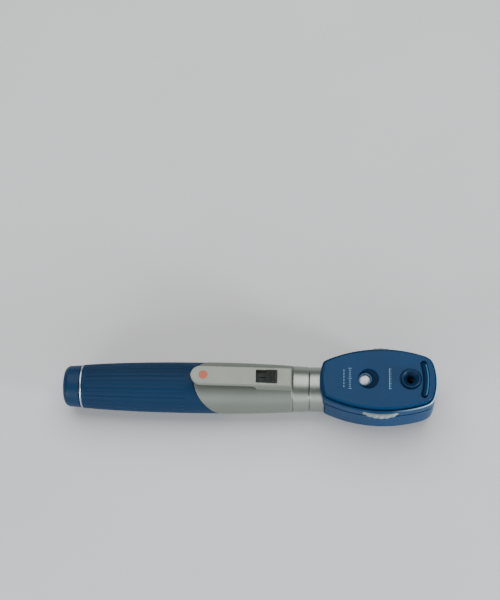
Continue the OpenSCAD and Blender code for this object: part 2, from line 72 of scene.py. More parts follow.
def orad(a, d):
    """outline radius of the head about (OCX, 0) at angles a, inset by d"""
    def ray(cx, cy, R):
        dx, dy = OCX - cx, -cy
        b = dx * np.cos(a) + dy * np.sin(a)
        return -b + np.sqrt(b * b - (dx * dx + dy * dy - R * R))
    r1, r2 = ray(SIDE_CX, HW - SIDE_R, SIDE_R - d), ray(SIDE_CX, SIDE_R - HW, SIDE_R - d)
    r3 = ray(TOP_X - TOP_R, 0, TOP_R - d)
    r4 = np.where(np.cos(a) < 0, ray(NECK_X + NECK_R, 0, NECK_R - d), 1000.0)
    p, q = 26.0, 100.0
    body = (r1 ** -p + r2 ** -p + r3 ** -p) ** (-1 / p)
    return (body ** -q + r4 ** -q) ** (-1 / q)


# ------------------------------------------------------------------ mesh tools (work in mm, finish in metres)
COL = bpy.context.scene.collection


def raw(name, V, F):
    me = bpy.data.meshes.new(name)
    me.from_pydata([tuple(map(float, v)) for v in V], [], [tuple(map(int, f)) for f in F])
    me.validate()
    me.update()
    o = bpy.data.objects.new(name, me)
    COL.objects.link(o)
    return o


def join(parts):
    """one vertex and face list from several"""
    V, F, k = [], [], 0
    for v, f in parts:
        V.extend(list(v))
        F.extend([tuple(i + k for i in g) for g in f])
        k += len(v)
    return V, F


def grid(rows, close_rows=False, cap0=False, cap1=False, flip=False):
    """skin through rows of points; every row is a closed loop"""
    m, n = len(rows), len(rows[0])
    V = [p for r in rows for p in r]
    F = []
    for k in range(m if close_rows else m - 1):
        a, b = k * n, ((k + 1) % m) * n
        for i in range(n):
            j = (i + 1) % n
            F.append((a + i, a + j, b + j, b + i))
    if cap0:
        F.append(tuple(range(n))[::-1])
    if cap1:
        F.append(tuple((m - 1) * n + i for i in range(n)))
    if flip:
        F = [f[::-1] for f in F]
    return V, F


def revolve(profile, n=192, closed=True, axis="X", at=(0, 0)):
    """closed profile of (along, r) about the X axis, or about Z through (x, y)"""
    t = np.linspace(0, 2 * np.pi, n, endpoint=False)
    rows = []
    for s, r in profile:
        r = max(r, 0.0)
        if axis == "X":
            rows.append(np.c_[np.full(n, s), r * np.cos(t), r * np.sin(t)])
        else:
            rows.append(np.c_[at[0] + r * np.cos(t), at[1] + r * np.sin(t), np.full(n, s)])
    return grid(rows, close_rows=closed)


def clean(o, dist=1e-4):
    bm = bmesh.new()
    bm.from_mesh(o.data)
    bmesh.ops.remove_doubles(bm, verts=bm.verts, dist=dist)
    bmesh.ops.dissolve_degenerate(bm, edges=bm.edges, dist=dist)
    bmesh.ops.recalc_face_normals(bm, faces=bm.faces)
    bm.to_mesh(o.data)
    bm.free()
    o.data.update()
    return o


def applied(o):
    dg = bpy.context.evaluated_depsgraph_get()
    me = bpy.data.meshes.new_from_object(o.evaluated_get(dg))
    old = o.data
    o.modifiers.clear()
    o.data = me
    bpy.data.meshes.remove(old)
    return o


def cut(o, *cutters, op="DIFFERENCE"):
    for c in cutters:
        m = o.modifiers.new("cut", "BOOLEAN")
        m.operation, m.solver, m.object = op, "EXACT", c
    applied(o)
    for c in cutters:
        bpy.data.objects.remove(c)
    return o


def solid(name, vf):
    return clean(raw(name, *vf))


def bevel(o, width, segments=2, angle=35):
    m = o.modifiers.new("bevel", "BEVEL")
    m.width, m.segments, m.limit_method, m.angle_limit = width, segments, "ANGLE", math.radians(angle)
    m.use_clamp_overlap = True
    m.harden_normals = False
    return applied(o)


def finish_piece(o, name, mat, body, replaces=(), sharp=34, weighted=True, painted_light_faces=None, flat=None):
    """from mm about the handle's axis to metres in the row frame; smooth shading; body, material; faces picked by the
    extra list take painted shade or painted highlight materials
    """
    o.name = name
    o.data.name = name
    o.data.transform(Matrix.Translation((-L / 2, 0, LIFT)))
    o.data.transform(Matrix.Scale(MM, 4))
    me = o.data
    me.polygons.foreach_set("use_smooth", [True] * len(me.polygons))
    me.set_sharp_from_angle(angle=math.radians(sharp))
    nz = np.zeros(len(me.polygons) * 3)
    me.polygons.foreach_get("normal", nz)
    me.polygons.foreach_set("use_smooth", np.abs(nz.reshape(-1, 3)[:, 2]) < 0.99995)
    me.materials.clear()
    me.materials.append(mat)
    idx = np.zeros(len(me.polygons), np.int32)
    if flat:
        me.materials.append(flat)
        idx[nz.reshape(-1, 3)[:, 2] > 0.9999] = 1
    # painted shade and painted highlights: the chosen faces get a darker or paler material
    if painted_light_faces:
        c = np.zeros(len(me.polygons) * 3)
        me.polygons.foreach_get("center", c)
        c = c.reshape(-1, 3) / MM - np.array((-L / 2, 0, LIFT))
        for other, where in painted_light_faces:
            me.materials.append(other)
            idx[where(c)] = len(me.materials) - 1
    me.polygons.foreach_set("material_index", idx)
    me.update()
    if weighted:
        w = o.modifiers.new("weighted", "WEIGHTED_NORMAL")
        w.mode, w.weight, w.keep_sharp = "FACE_AREA", 60, True
    if body:
        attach(o, body)
    if replaces:
        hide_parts(*replaces)
    return o


def box_vf(x0, x1, y0, y1, z0, z1):
    V = [(x, y, z) for x in (x0, x1) for y in (y0, y1) for z in (z0, z1)]
    return V, [(0, 1, 3, 2), (4, 6, 7, 5), (0, 4, 5, 1), (2, 3, 7, 6), (0, 2, 6, 4), (1, 5, 7, 3)]


def box(x0, x1, y0, y1, z0, z1, r=0.0, seg=3):
    o = solid("box", box_vf(x0, x1, y0, y1, z0, z1))
    if r:
        bevel(o, r, seg, 20)
    return o


# ------------------------------------------------------------------ materials
class Mat:
    def __init__(self, name):
        self.m = bpy.data.materials.new(name)
        self.m.use_nodes = True
        self.t = self.m.node_tree
        self.b = self.t.nodes["Principled BSDF"]
        self.co = self.t.nodes.new("ShaderNodeTexCoord").outputs["Object"]

    def node(self, kind, **kw):
        n = self.t.nodes.new(kind)
        for k, v in kw.items():
            if k in n.inputs.keys():
                n.inputs[k].default_value = v
            else:
                setattr(n, k, v)
        return n

    def link(self, a, b):
        self.t.links.new(a, b)

    def noise(self, scale, detail=3.0, rough=0.55, stretch=None):
        n = self.node("ShaderNodeTexNoise", Scale=scale, Detail=detail, Roughness=rough)
        src = self.co
        if stretch:
            mp = self.node("ShaderNodeMapping")
            mp.inputs["Scale"].default_value = stretch
            self.link(self.co, mp.inputs["Vector"])
            src = mp.outputs["Vector"]
        self.link(src, n.inputs["Vector"])
        return n.outputs["Fac"]

    def ramp(self, fac, stops):
        r = self.node("ShaderNodeValToRGB")
        e = r.color_ramp.elements
        while len(e) < len(stops):
            e.new(0.5)
        for el, (p, c) in zip(e, stops):
            el.position = p
            el.color = (*c, 1) if len(c) == 3 else c
        self.link(fac, r.inputs["Fac"])
        return r.outputs["Color"]

    def remap(self, fac, lo, hi):
        n = self.node("ShaderNodeMapRange")
        n.inputs["From Min"].default_value, n.inputs["From Max"].default_value = 0.3, 0.7
        n.inputs["To Min"].default_value, n.inputs["To Max"].default_value = lo, hi
        self.link(fac, n.inputs["Value"])
        return n.outputs["Result"]

    def bump(self, *layers):
        """layers of (height, strength, distance)"""
        prev = None
        for h, s, d in layers:
            n = self.node("ShaderNodeBump", Strength=s, Distance=d)
            self.link(h, n.inputs["Height"])
            if prev is not None:
                self.link(prev, n.inputs["Normal"])
            prev = n.outputs["Normal"]
        self.link(prev, self.b.inputs["Normal"])

    def edge_wear(self, color, light, amount=0.35):
        """lighter, slightly rubbed convex edges"""
        g = self.node("ShaderNodeNewGeometry")
        r = self.node("ShaderNodeMapRange")
        r.inputs["From Min"].default_value, r.inputs["From Max"].default_value = 0.58, 0.74
        r.inputs["To Min"].default_value, r.inputs["To Max"].default_value = 0.0, amount
        self.link(g.outputs["Pointiness"], r.inputs["Value"])
        mix = self.node("ShaderNodeMix", data_type="RGBA")
        self.link(r.outputs["Result"], mix.inputs["Factor"])
        self.link(color, mix.inputs["A"])
        mix.inputs["B"].default_value = (*light, 1)
        return mix.outputs["Result"]


def srgb(r, g, b):
    f = lambda c: c / 12.92 if c <= 0.04045 else ((c + 0.055) / 1.055) ** 2.4
    return tuple(f(c / 255) for c in (r, g, b))


def scale(c, k):
    return tuple(min(1.0, v * k) for v in c)


def plastic(name, c, rough=0.42, grain=2600, depth=0.000012, var=0.07, spec=0.22, coat=0.0, light=None):
    m = Mat(name)
    soft = m.noise(45, 2)
    col = m.ramp(soft, [(0.3, scale(c, 1 - var)), (0.7, scale(c, 1 + var))])
    if light:
        col = m.edge_wear(col, light)
    m.link(col, m.b.inputs["Base Color"])
    fine = m.noise(grain, 2, 0.6)
    m.link(m.remap(m.noise(300, 3), rough - 0.04, rough + 0.05), m.b.inputs["Roughness"])
    m.b.inputs["Specular IOR Level"].default_value = spec
    if coat:
        m.b.inputs["Coat Weight"].default_value = coat
        m.b.inputs["Coat Roughness"].default_value = 0.25
    m.bump((fine, 0.35, depth), (m.noise(160, 2), 0.12, 0.00006))
    return m.m


def metal(name, c, rough=0.3, metallic=1.0, turned=None, brushed=None, var=0.04, grain=0.15, vary=0.055):
    m = Mat(name)
    col = m.ramp(m.noise(60, 2), [(0.3, scale(c, 1 - var)), (0.7, scale(c, 1 + var))])
    m.link(col, m.b.inputs["Base Color"])
    m.b.inputs["Metallic"].default_value = metallic
    m.link(m.remap(m.noise(420, 3), rough - vary, rough + vary), m.b.inputs["Roughness"])
    layers = [(m.noise(3800, 2, 0.6), grain, 0.000008)]
    if turned:
        layers.append((m.noise(turned, 2, 0.7, stretch=(1.0, 0.004, 0.004)), 0.12, 0.000006))
    if brushed:
        layers.append((m.noise(brushed, 2, 0.7, stretch=(0.02, 1.0, 1.0)), 0.3, 0.00001))
    m.bump(*layers)
    return m.m


def glass(name, c, rough=0.03, alpha=None, ior=1.5, transmission=1.0, tint=None):
    m = Mat(name)
    col = m.ramp(m.noise(80, 1), [(0.35, scale(c, 0.97)), (0.65, c)])
    m.link(col, m.b.inputs["Base Color"])
    m.b.inputs["Transmission Weight"].default_value = transmission
    m.b.inputs["IOR"].default_value = ior
    m.link(m.remap(m.noise(500, 2), rough, rough + 0.02), m.b.inputs["Roughness"])
    m.b.inputs["Coat Weight"].default_value = 0.4
    m.b.inputs["Coat Roughness"].default_value = 0.05
    return m.m


def painted_highlight_rim_plastic(name, c, light, x0, x1):
    """painted highlight on the rim: the blue grows paler from x0 to x1 (metres)"""
    m = Mat(name)
    sep = m.node("ShaderNodeSeparateXYZ")
    m.link(m.co, sep.inputs["Vector"])
    g = m.node("ShaderNodeMapRange")
    g.inputs["From Min"].default_value, g.inputs["From Max"].default_value = x0, x1
    m.link(sep.outputs["X"], g.inputs["Value"])
    m.link(m.ramp(g.outputs["Result"], [(0.0, c), (1.0, light)]), m.b.inputs["Base Color"])
    m.link(m.remap(m.noise(300, 3), 0.30, 0.36), m.b.inputs["Roughness"])
    m.b.inputs["Specular IOR Level"].default_value = 0.3
    m.bump((m.noise(2400, 2, 0.6), 0.2, 0.000008))
    return m.m


GRIP = (0.0034, 0.0215, 0.056)
M = {
    "cap": plastic("cap_blue", (0.0045, 0.0255, 0.064), 0.40, 2600, spec=0.12),
    "grip": plastic("grip_blue", GRIP, 0.50, 2800, spec=0.10),
    "head": plastic("head_blue", (0.0016, 0.0295, 0.083), 0.34, 2400, 0.000014, spec=0.10),
    "flank": plastic("head_blue_flank", (0.0016, 0.0295, 0.083), 0.33, 2400, 0.000010, spec=0.09),
    "eyecup": plastic("eyecup_blue", (0.004, 0.020, 0.050), 0.44, 2400, spec=0.10),
    "brow": plastic("brow_blue", (0.0035, 0.029, 0.078), 0.42, 3200, 0.000012, spec=0.15),
    # painted highlight: a paler blue for the brow ridge's top
    "ridge": plastic("ridge_painted_highlight", srgb(56, 92, 124), 0.34, 2400, 0.000006, spec=0.3),
    # painted highlight: the crown's rim grows paler towards the head's end
    "rim": painted_highlight_rim_plastic("rim_painted_highlight", (0.0016, 0.0295, 0.083), srgb(132, 166, 190), 0.068, 0.086),
    # painted shade: a near-black blue for grooves, hollows and the brow's low floor
    "shade": plastic("recess_painted_shade", (0.0025, 0.013, 0.034), 0.6, 2400, spec=0.05),
    "ring": plastic("readout_ring", srgb(52, 88, 116), 0.3, 2400),
    "black": plastic("black_plastic", srgb(22, 23, 23), 0.5, 2400),
    "switch": plastic("switch_black", srgb(34, 38, 35), 0.5, 2400, 0.00002, light=srgb(78, 84, 80)),
    "bed": plastic("bed_black", srgb(52, 57, 53), 0.55, 2400, spec=0.15),
    # seal rubber; also laid on the battery tube flange's left slope as painted shade
    "seal": plastic("seal_rubber", srgb(20, 20, 21), 0.6, 2400),
    "badge": plastic("badge_coral", srgb(156, 84, 62), 0.34, 2400),
    "mark": plastic("mark_print", srgb(118, 150, 176), 0.5, 2400),
    "dial": plastic("dial_grey", srgb(116, 130, 134), 0.38, 2400, light=srgb(180, 192, 196)),
    "scale": plastic("scale_white", srgb(214, 220, 222), 0.3, 1400, var=0.1),
    "shell": metal("shell_silver", srgb(107, 113, 105), 0.46, 0.55, grain=0.3, vary=0.03),
    "clip": metal("clip_silver", srgb(118, 122, 114), 0.46, 0.45, grain=0.3, vary=0.03),
    "collar": metal("collar_metal", srgb(137, 142, 135), 0.34, 0.9, turned=5000, var=0.02, grain=0.03, vary=0.012),
    # light metal; its blue tint is partly a painted reflection of the blue plastic around the flange
    "tube": metal("tube_metal", srgb(176, 190, 206), 0.34, 0.9, grain=0.08),
    "steel": metal("axle_steel", srgb(190, 190, 193), 0.25, 1.0, turned=7000),
    "spring": metal("spring_steel", srgb(195, 195, 195), 0.22, 1.0),
    "brass": metal("contact_brass", srgb(206, 172, 98), 0.25, 1.0),
    "lampm": metal("lamp_metal", srgb(198, 188, 160), 0.28, 1.0, turned=7000),
    "filament": metal("filament", srgb(110, 110, 114), 0.4, 1.0),
    "cell": metal("cell_jacket", srgb(70, 74, 82), 0.35, 0.4),
    "mirror": metal("mirror", srgb(224, 228, 232), 0.06, 1.0, grain=0.02),
    "screw": metal("screw_steel", srgb(150, 152, 156), 0.3, 1.0, turned=7000),
    "aperture": plastic("aperture_black", srgb(26, 27, 29), 0.46, 2400),
    "lens": glass("clear_lens", (0.92, 0.95, 0.97), 0.05),
    "optic": glass("optic_glass", (0.93, 0.96, 0.98), 0.02),
    "lampg": glass("lamp_glass", (0.95, 0.97, 0.98), 0.03, ior=1.45),
    "window": glass("window_glass", (0.90, 0.94, 0.96), 0.03),
    "filter": glass("filter_green", (0.10, 0.62, 0.28), 0.04),
}

for node, key in {
    "spring_plate": "spring", "battery_spring": "spring", "tube_seal": "seal", "battery_lower": "cell", "battery_upper": "cell",
    "clip_badge": "badge", "switch_bed": "bed", "switch_contact": "brass", "contact_strip": "brass", "contact_insulator": "black",
    "contact_pin": "brass", "lamp_base": "lampm", "lamp_glass": "lampg", "lamp_filament": "filament", "lamp_socket": "black",
    "lens_dial": "dial", "dial_lenses": "optic", "dial_axle": "steel", "detent_ball": "steel", "detent_spring": "spring",
    "optics_chassis": "black", "condenser_lens": "optic", "projection_lens": "optic", "mirror": "mirror", "aperture_wheel": "aperture",
    "redfree_filter": "filter", "aperture_axle": "steel", "patient_window": "window", "shell_screws": "screw",
}.items():
    N[node].data.materials.clear()
    N[node].data.materials.append(M[key])

# ------------------------------------------------------------------ base cap, with its coin slot
def arc(cx, cy, r, a0, a1, n):
    return [(cx + r * math.cos(math.radians(a0 + (a1 - a0) * i / n)), cy + r * math.sin(math.radians(a0 + (a1 - a0) * i / n))) for i in range(n + 1)]


cap_prof = ([(0.35, 0.001), (0.35, 5.3), (0.28, 5.5), (0.06, 5.82), (0.0, 5.95), (0.0, 6.6)]
            + arc(3.1, 6.6, 3.1, 180, 100, 14)[1:] + [(5.2, 9.86), (6.9, 9.94), (7.62, 9.98), (7.8, 9.93), (7.88, 9.82)]
            + [(7.88, 9.05), (7.8, 9.0), (7.0, 9.0), (7.0, 8.45), (2.3, 8.45), (2.3, 0.001)])
cap = solid("cap", revolve(cap_prof, 192))
slot = box(-1, 0.95, -4.2, 4.2, -0.72, 0.72)
cut(cap, slot)
finish_piece(cap, "base_cap_shell", M["cap"], "cap", ["base_cap"], 30)

# ------------------------------------------------------------------ battery tube: flange ring and cap thread
def thread_rows(x0, x1, r, pitch, depth, n, fade=1.0, step=0.08):
    t = np.linspace(0, 2 * np.pi, n, endpoint=False)
    rows = []
    for x in np.arange(x0, x1 + 1e-6, step):
        ph = (x / pitch + t / (2 * np.pi)) % 1.0
        h = np.clip(np.abs(ph - 0.5) * 4 - 0.5, 0, 1)
        f = min(1.0, (x - x0) / fade, (x1 - x) / fade)
        rr = r - depth * h * max(f, 0)
        rows.append(np.c_[np.full(n, x), rr * np.cos(t), rr * np.sin(t)])
    return rows


def ring_rows(prof, n):
    t = np.linspace(0, 2 * np.pi, n, endpoint=False)
    return [np.c_[np.full(n, s), r * np.cos(t), r * np.sin(t)] for s, r in prof]


n = 128
rows = (ring_rows([(3.2, 7.4), (3.2, 7.85), (3.25, 7.9), (3.55, 8.2)], n) + thread_rows(3.6, 6.8, 8.28, 1.0, 0.28, n)
        + ring_rows([(8.06, 8.29), (8.06, 9.9), (8.1, 10.02), (8.2, 10.16), (8.36, 10.27), (8.56, 10.31), (8.76, 10.3), (8.92, 10.22), (9.02, 10.1), (9.03, 9.6), (9.03, 8.29), (110.1, 8.29), (110.1, 7.4)], n))
tube = solid("tube", grid(rows, close_rows=True))
# the flange ring's left slope takes the black seal rubber as painted shade
finish_piece(tube, "battery_tube_turned", M["tube"], "handle", ["battery_tube"], 30, painted_light_faces=[(M["seal"], lambda c: (c[:, 0] > 8.0) & (c[:, 0] < 8.42) & (np.hypot(c[:, 1], c[:, 2]) > 9.5))])

# ------------------------------------------------------------------ fluted grip sleeve
FL, PER = 28, (20)
n = FL * PER
th = np.linspace(0, 2 * np.pi, n, endpoint=False)
ph = (th * FL / (2 * np.pi) + 0.5) % 1.0


def flute(ph):
    """flat land that falls to a rounded groove"""
    d = np.abs(ph - 0.5) * 2            # 0 at land's middle, 1 at the groove
    g = np.clip((d - 0.5) / 0.5, 0, 1)
    return g ** 1.4


FG = flute(ph)


def fade(x, x0, x1, w):
    a = np.clip((x - x0) / w, 0, 1) * np.clip((x1 - x) / w, 0, 1)
    return a * a * (3 - 2 * a)


def edge_x(r, off):
    """x of the oblique seam for a ring of radius r"""
    return CUT_X + off - CUT_K * r * np.sin(th)


def pt(x, r):
    return np.c_[x, r * np.cos(th), r * np.sin(th)]


rows = []
one = np.ones(n)
for x, k in [(9.06, -0.42), (9.07, -0.2), (9.12, -0.08), (9.22, 0.0)]:
    rows.append(pt(x * one, br(x) * one + k))
for x in list(np.linspace(9.5, 12.2, 12)) + list(np.linspace(13, 55, 22)) + list(np.linspace(55.6, 59.4, 13)):
    rows.append(pt(x * one, br(x) - 0.22 * FG * fade(x, 9.9, 59.0, 1.6)))
for v in np.linspace(0.12, 0.97, 8):
    xe = edge_x(GR, -0.06)
    x = 59.6 + (xe - 59.6) * v
    rows.append(pt(x, br(x)))
for dx, k in [(-0.25, 0.0), (-0.1, -0.04), (-0.02, -0.14), (0.0, -0.3), (0.0, -1.9)]:
    xe = edge_x(br(edge_x(GR, -0.06)) + k, -0.06 + dx)
    rows.append(pt(xe, br(xe) + k))
# inside, back to the base
xe = edge_x(br(edge_x(GR, 0)) - 2.2, -0.3)
rows.append(pt(xe, br(xe) - 2.2))
for x in (58.0, 40.0, 22.0, 13.5):
    rows.append(pt(x * one, (br(x) - 2.2) * one))
rows.append(pt(12.6 * one, 8.36 * one))
rows.append(pt(9.06 * one, 8.36 * one))
sleeve = solid("sleeve", grid(rows, close_rows=True))
finish_piece(sleeve, "grip_sleeve_fluted", M["grip"], "handle", ["grip_sleeve"], 40)

# ------------------------------------------------------------------ upper shell, with its rolled oblique edge
n = 288
th = np.linspace(0, 2 * np.pi, n, endpoint=False)
one = np.ones(n)
rows = []
for dx, k in [(0.02, -1.8), (0.0, -0.5), (0.03, -0.3), (0.1, -0.14), (0.22, -0.04), (0.4, 0.0)]:
    xe = edge_x(shell_r(edge_x(GR, 0.06)) + k, 0.08 + dx)
    rows.append(pt(xe, shell_r(xe) + k))
for v in np.linspace(0.03, 1.0, 26):
    xs = edge_x(GR + 0.1, 0.6)
    x = xs + (107.9 - xs) * v
    rows.append(pt(x, shell_r(x)))
for x, k in [(108.2, -0.03), (108.4, -0.1), (108.55, -0.22), (108.58, -0.4)]:
    rows.append(pt(x * one, shell_r(x) * one + k))
rows.append(pt(108.58 * one, 9.1 * one))
rows.append(pt(103.4 * one, 9.1 * one))
for x in (102.0, 92.0):
    rows.append(pt(x * one, (br(x) - 1.9) * one))
xe = edge_x(br(edge_x(GR, 0)) - 1.9, 0.5)
rows.append(pt(xe, br(xe) - 1.9))
shell = solid("shell", grid(rows, close_rows=True))
cut(shell, box(91.6, 103.8, -2.6, 2.6, 4, 20))
finish_piece(shell, "upper_shell_silver", M["shell"], "handle", ["upper_shell"], 34)

# ------------------------------------------------------------------ pocket clip: one strip with its base
def section(x):
    """closed loop of (y, z) points of the clip at x, the same count at every x"""
    R = CLIP_W / 2
    if x < CLIP0 + R:
        w = math.sqrt(max(R * R - (R - (x - CLIP0)) ** 2, 0.0))
    else:
        w = R
    zt = float(clip_z(x))
    s = min(max((x - 90.6) / 5.0, 0), 1)
    s = s * s * (3 - 2 * s)
    wt = w - 0.04 * s                                 # the sides stand straight down to the shell
    wb = w + 0.06 * s if x > 90 else w
    endf = max(0.0, (x - (CLIP1 - 0.35)) / 0.35)
    drop = 0.35 * (1 - math.sqrt(max(1 - endf * endf, 0)))
    zt -= drop
    wt -= drop
    wb -= drop * 0.6
    # underside
    if x < 90.0:
        bump = 0.0
        if 63.0 < x < 70.6:
            u = (x - 66.8) / 3.8
            bump = 0.5 * (1 + math.cos(math.pi * max(-1, min(1, u))))
        rim = max(0.0, 1 - (x - CLIP0) / 0.8) if x < CLIP0 + 0.8 else 0.0
        zb = float(clip_z(x)) - 1.8 + 0.5 * rim ** 2
        zn = 12.78
        base = 0.0
    else:
        u = min(1.0, (x - 90.0) / 1.7)
        u = u * u * (3 - 2 * u)
        zb = (float(clip_z(x)) - 1.8) * (1 - u) + 12.3 * u
        base = 1.0 if x >= 91.7 else 0.0
        bump, zn = 0.0, 0.0
    f = min(0.55, w * 0.6)
    fb = min(0.35, w * 0.5) if not base else 0.02
    pts = []
    m = 14
    for i in range(m + 1):                            # top, right to left, faint crown
        y = (wt - f) * (1 - 2 * i / m)
        pts.append((y, zt + 0.10 * (1 - (y / max(wt, 1e-6)) ** 2)))
    z_e = zt + 0.10 * (1 - ((wt - f) / max(wt, 1e-6)) ** 2)
    k = 6

    def side(sign):
        a = []
        for i in range(1, k + 1):
            t = math.radians(90 * i / k)
            a.append((sign * (wt - f + f * math.sin(t)), z_e - f * (1 - math.cos(t))))
        zs = math.sqrt(max(float(shell_r(x)) ** 2 - wb * wb, 0)) + 0.02 if base else zb + fb
        zlo = zs if base else zb + fb
        for i in range(1, 6):
            u = i / 5
            a.append((sign * (wt + (wb - wt) * u * u), (z_e - f) + (zlo - (z_e - f)) * u))
        for i in range(1, 4):
            t = math.radians(90 * i / 3)
            a.append((sign * (wb - fb + fb * math.cos(t)), (zlo if base else zb + fb) - fb * math.sin(t)))
        return a
    pts += side(-1)
    for i in range(1, m):                             # underside, left to right
        y = -(wb - fb) * (1 - 2 * i / m)
        q = max(0.0, 1 - (abs(y) / (0.72 * max(wb, 1e-6))) ** 4)
        z = math.sqrt(float(shell_r(x)) ** 2 - y * y) + 0.02 if base else zb + (zn - zb) * bump * q
        pts.append((y, z))
    pts += side(1)[::-1]
    return pts


xs = [CLIP0 + 4.65 * (1 - math.cos(math.radians(t))) for t in (2, 6, 11, 17, 24, 31, 38, 46, 54, 62, 70, 78, 84)]
xs += list(np.arange(66.2, 90.0, 0.6)) + [89.8, 90.02, 90.3, 90.6, 90.9, 91.2, 91.5, 91.69, 91.7] + list(np.arange(92.2, 107.5, 0.75)) + [107.75, 107.85, 107.95, 108.03, 108.08, 108.1]
secs = [section(x) for x in xs]
rows = [[(x, y, z) for y, z in s] for x, s in zip(xs, secs)]
clip = solid("clip", grid(rows, cap0=True, cap1=True))
# switch opening, with a soft lip
cutter = box(91.6, 101.6, -3.25, 3.25, 13.25, 30, 0.0)
bm = bmesh.new(); bm.from_mesh(cutter.data)
vert = [e for e in bm.edges if abs(e.verts[0].co.x - e.verts[1].co.x) < 1e-6 and abs(e.verts[0].co.y - e.verts[1].co.y) < 1e-6]
bmesh.ops.bevel(bm, geom=vert, offset=0.45, segments=5, profile=0.5, affect="EDGES")
bm.to_mesh(cutter.data); bm.free()
cut(clip, cutter, box(91.6, 105, -2.6, 2.6, 4, 13.3))
finish_piece(clip, "pocket_clip", M["clip"], None, ["clip_base", "clip_arm"], 38)
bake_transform(clip)

# ------------------------------------------------------------------ switch button: ribs across its travel
def slab_height(x0, x1, y0, y1, zb, top, nx, ny, edge=0.35):
    """block whose top follows top(x, y), with rounded upper edges"""
    X = np.linspace(x0, x1, nx)
    Y = np.linspace(y0, y1, ny)
    V, F = [], []
    for x in X:
        for y in Y:
            d = min(x - x0, x1 - x, y - y0, y1 - y)
            q = max(0.0, 1 - d / edge)
            z = top(x, y) - edge * (1 - math.sqrt(max(0.0, 1 - q * q)))
            V.append((x, y, z))
    idx = lambda i, j: i * ny + j
    for i in range(nx - 1):
        for j in range(ny - 1):
            F.append((idx(i, j), idx(i + 1, j), idx(i + 1, j + 1), idx(i, j + 1)))
    rim = [idx(i, 0) for i in range(nx)] + [idx(nx - 1, j) for j in range(1, ny)] + [idx(i, ny - 1) for i in range(nx - 2, -1, -1)] + [idx(0, j) for j in range(ny - 2, 0, -1)]
    k = len(V)
    for r in rim:
        V.append((V[r][0], V[r][1], zb))
    m = len(rim)
    for a in range(m):
        b = (a + 1) % m
        F.append((rim[b], rim[a], k + a, k + b))
    F.append(tuple(k + a for a in range(m)))
    return V, F


def rib(x, y):
    u = ((x - 96.9) / 0.62) % 1.0
    w = min(max((x - 96.9) / 0.3, 0), 1) * min(max((101.0 - x) / 0.3, 0), 1)
    return 16.95 - 0.34 * w * max(0.0, 1 - abs(u - 0.5) * 3.2) + 0.0 * y


parts = [slab_height(96.5, 101.4, -3.1, 3.1, 14.45, rib, 99, 26, 0.3), box_vf(98.1, 99.7, -0.14, 0.14, 11.8, 14.47)]
btn = raw("btn", *join(parts))
clean(btn)
# ribbed bed under the button, parted by the slot that the stem runs in
def bed_rib(x, y):
    u = ((x - 91.9) / 0.62) % 1.0
    w = min(max((x - 91.9) / 0.2, 0), 1) * min(max((101.3 - x) / 0.2, 0), 1)
    return 14.3 - 0.16 * w * max(0.0, 1 - abs(u - 0.5) * 3.2)


parts = [slab_height(91.7, 101.5, y0, y1, 13.3, bed_rib, 190, 6, 0.05) for y0, y1 in ((-3.2, -0.19), (0.19, 3.2))]
parts += [box_vf(91.7, 93.0, -0.21, 0.21, 13.3, 14.28), box_vf(99.9, 101.5, -0.21, 0.21, 13.3, 14.28)]
bed = raw("bed", *join(parts))
clean(bed)
finish_piece(bed, "switch_bed_ribbed", M["bed"], "handle", ["switch_bed"], 50, weighted=False)
finish_piece(btn, "switch_button_ribbed", M["switch"], "switch", ["switch_button"], 50, weighted=False)

# ------------------------------------------------------------------ neck collar (handle side) with head thread, and head collar
n = 192
rows = (ring_rows([(104, 8.36), (104, 9.0), (108.68, 9.0), (108.7, 10.3), (108.72, 10.62), (108.8, 10.74), (108.95, 10.82), (109.2, 10.84), (112.2, 10.7), (115.5, 10.53), (115.95, 10.49), (116.15, 10.41), (116.27, 10.28), (116.3, 10.1), (116.3, 8.4)], n)
        + thread_rows(116.36, 120.3, 8.38, 0.75, 0.22, n, 0.5, 0.07)
        + ring_rows([(120.5, 8.38), (120.8, 8.2), (121.0, 8.0), (121.0, 6.0), (110.2, 6.0), (110.2, 8.36)], n))
finish_piece(solid("neck", grid(rows, close_rows=True)), "neck_collar_turned", M["collar"], "handle", ["neck_collar"], 30)
hc = [(116.46, 8.5), (116.46, 10.0), (116.48, 10.2), (116.56, 10.33), (116.7, 10.42), (116.95, 10.46), (119.6, 10.44), (122.9, 10.42), (123.1, 10.36), (123.2, 10.2), (123.2, 5.2), (121.6, 5.2), (121.6, 8.5)]
finish_piece(solid("hc", revolve(hc, 192)), "head_collar_turned", M["collar"], "head", ["head_collar"], 30)

# ------------------------------------------------------------------ head shells
NA = 320
# more points where the outline turns
_a = np.linspace(0, 2 * np.pi, 6001)
_r = orad(_a, 0.0)
_x, _y = _r * np.cos(_a), _r * np.sin(_a)
_tx, _ty = np.gradient(_x), np.gradient(_y)
_tan = np.unwrap(np.arctan2(_ty, _tx))
_ds = np.hypot(_tx, _ty)
_w = np.cumsum(_ds / _ds.sum() * 0.55 + np.abs(np.gradient(_tan)) / (2 * np.pi) * 0.45)
_w = (_w - _w[0]) / (_w[-1] - _w[0])
ANG = np.interp(np.linspace(0, 1, NA, endpoint=False), _w, _a)


def loft(levels, ang=ANG):
    rows = []
    for lv in levels:
        z, d = lv[0], lv[1]
        k = 1 + lv[2] * np.clip(np.cos(ang), 0, None) ** 3 if len(lv) > 2 else 1.0
        r = orad(ang, d * k)
        rows.append(np.c_[OCX + r * np.cos(ang), r * np.sin(ang), np.full(len(ang), z)])
    return grid(rows, cap0=True, cap1=True)


def zcyl(x, y, r, z0, z1, n=96):
    t = np.linspace(0, 2 * np.pi, n, endpoint=False)
    return grid([np.c_[x + r * np.cos(t), y + r * np.sin(t), np.full(n, z)] for z in (z0, z1)], cap0=True, cap1=True)


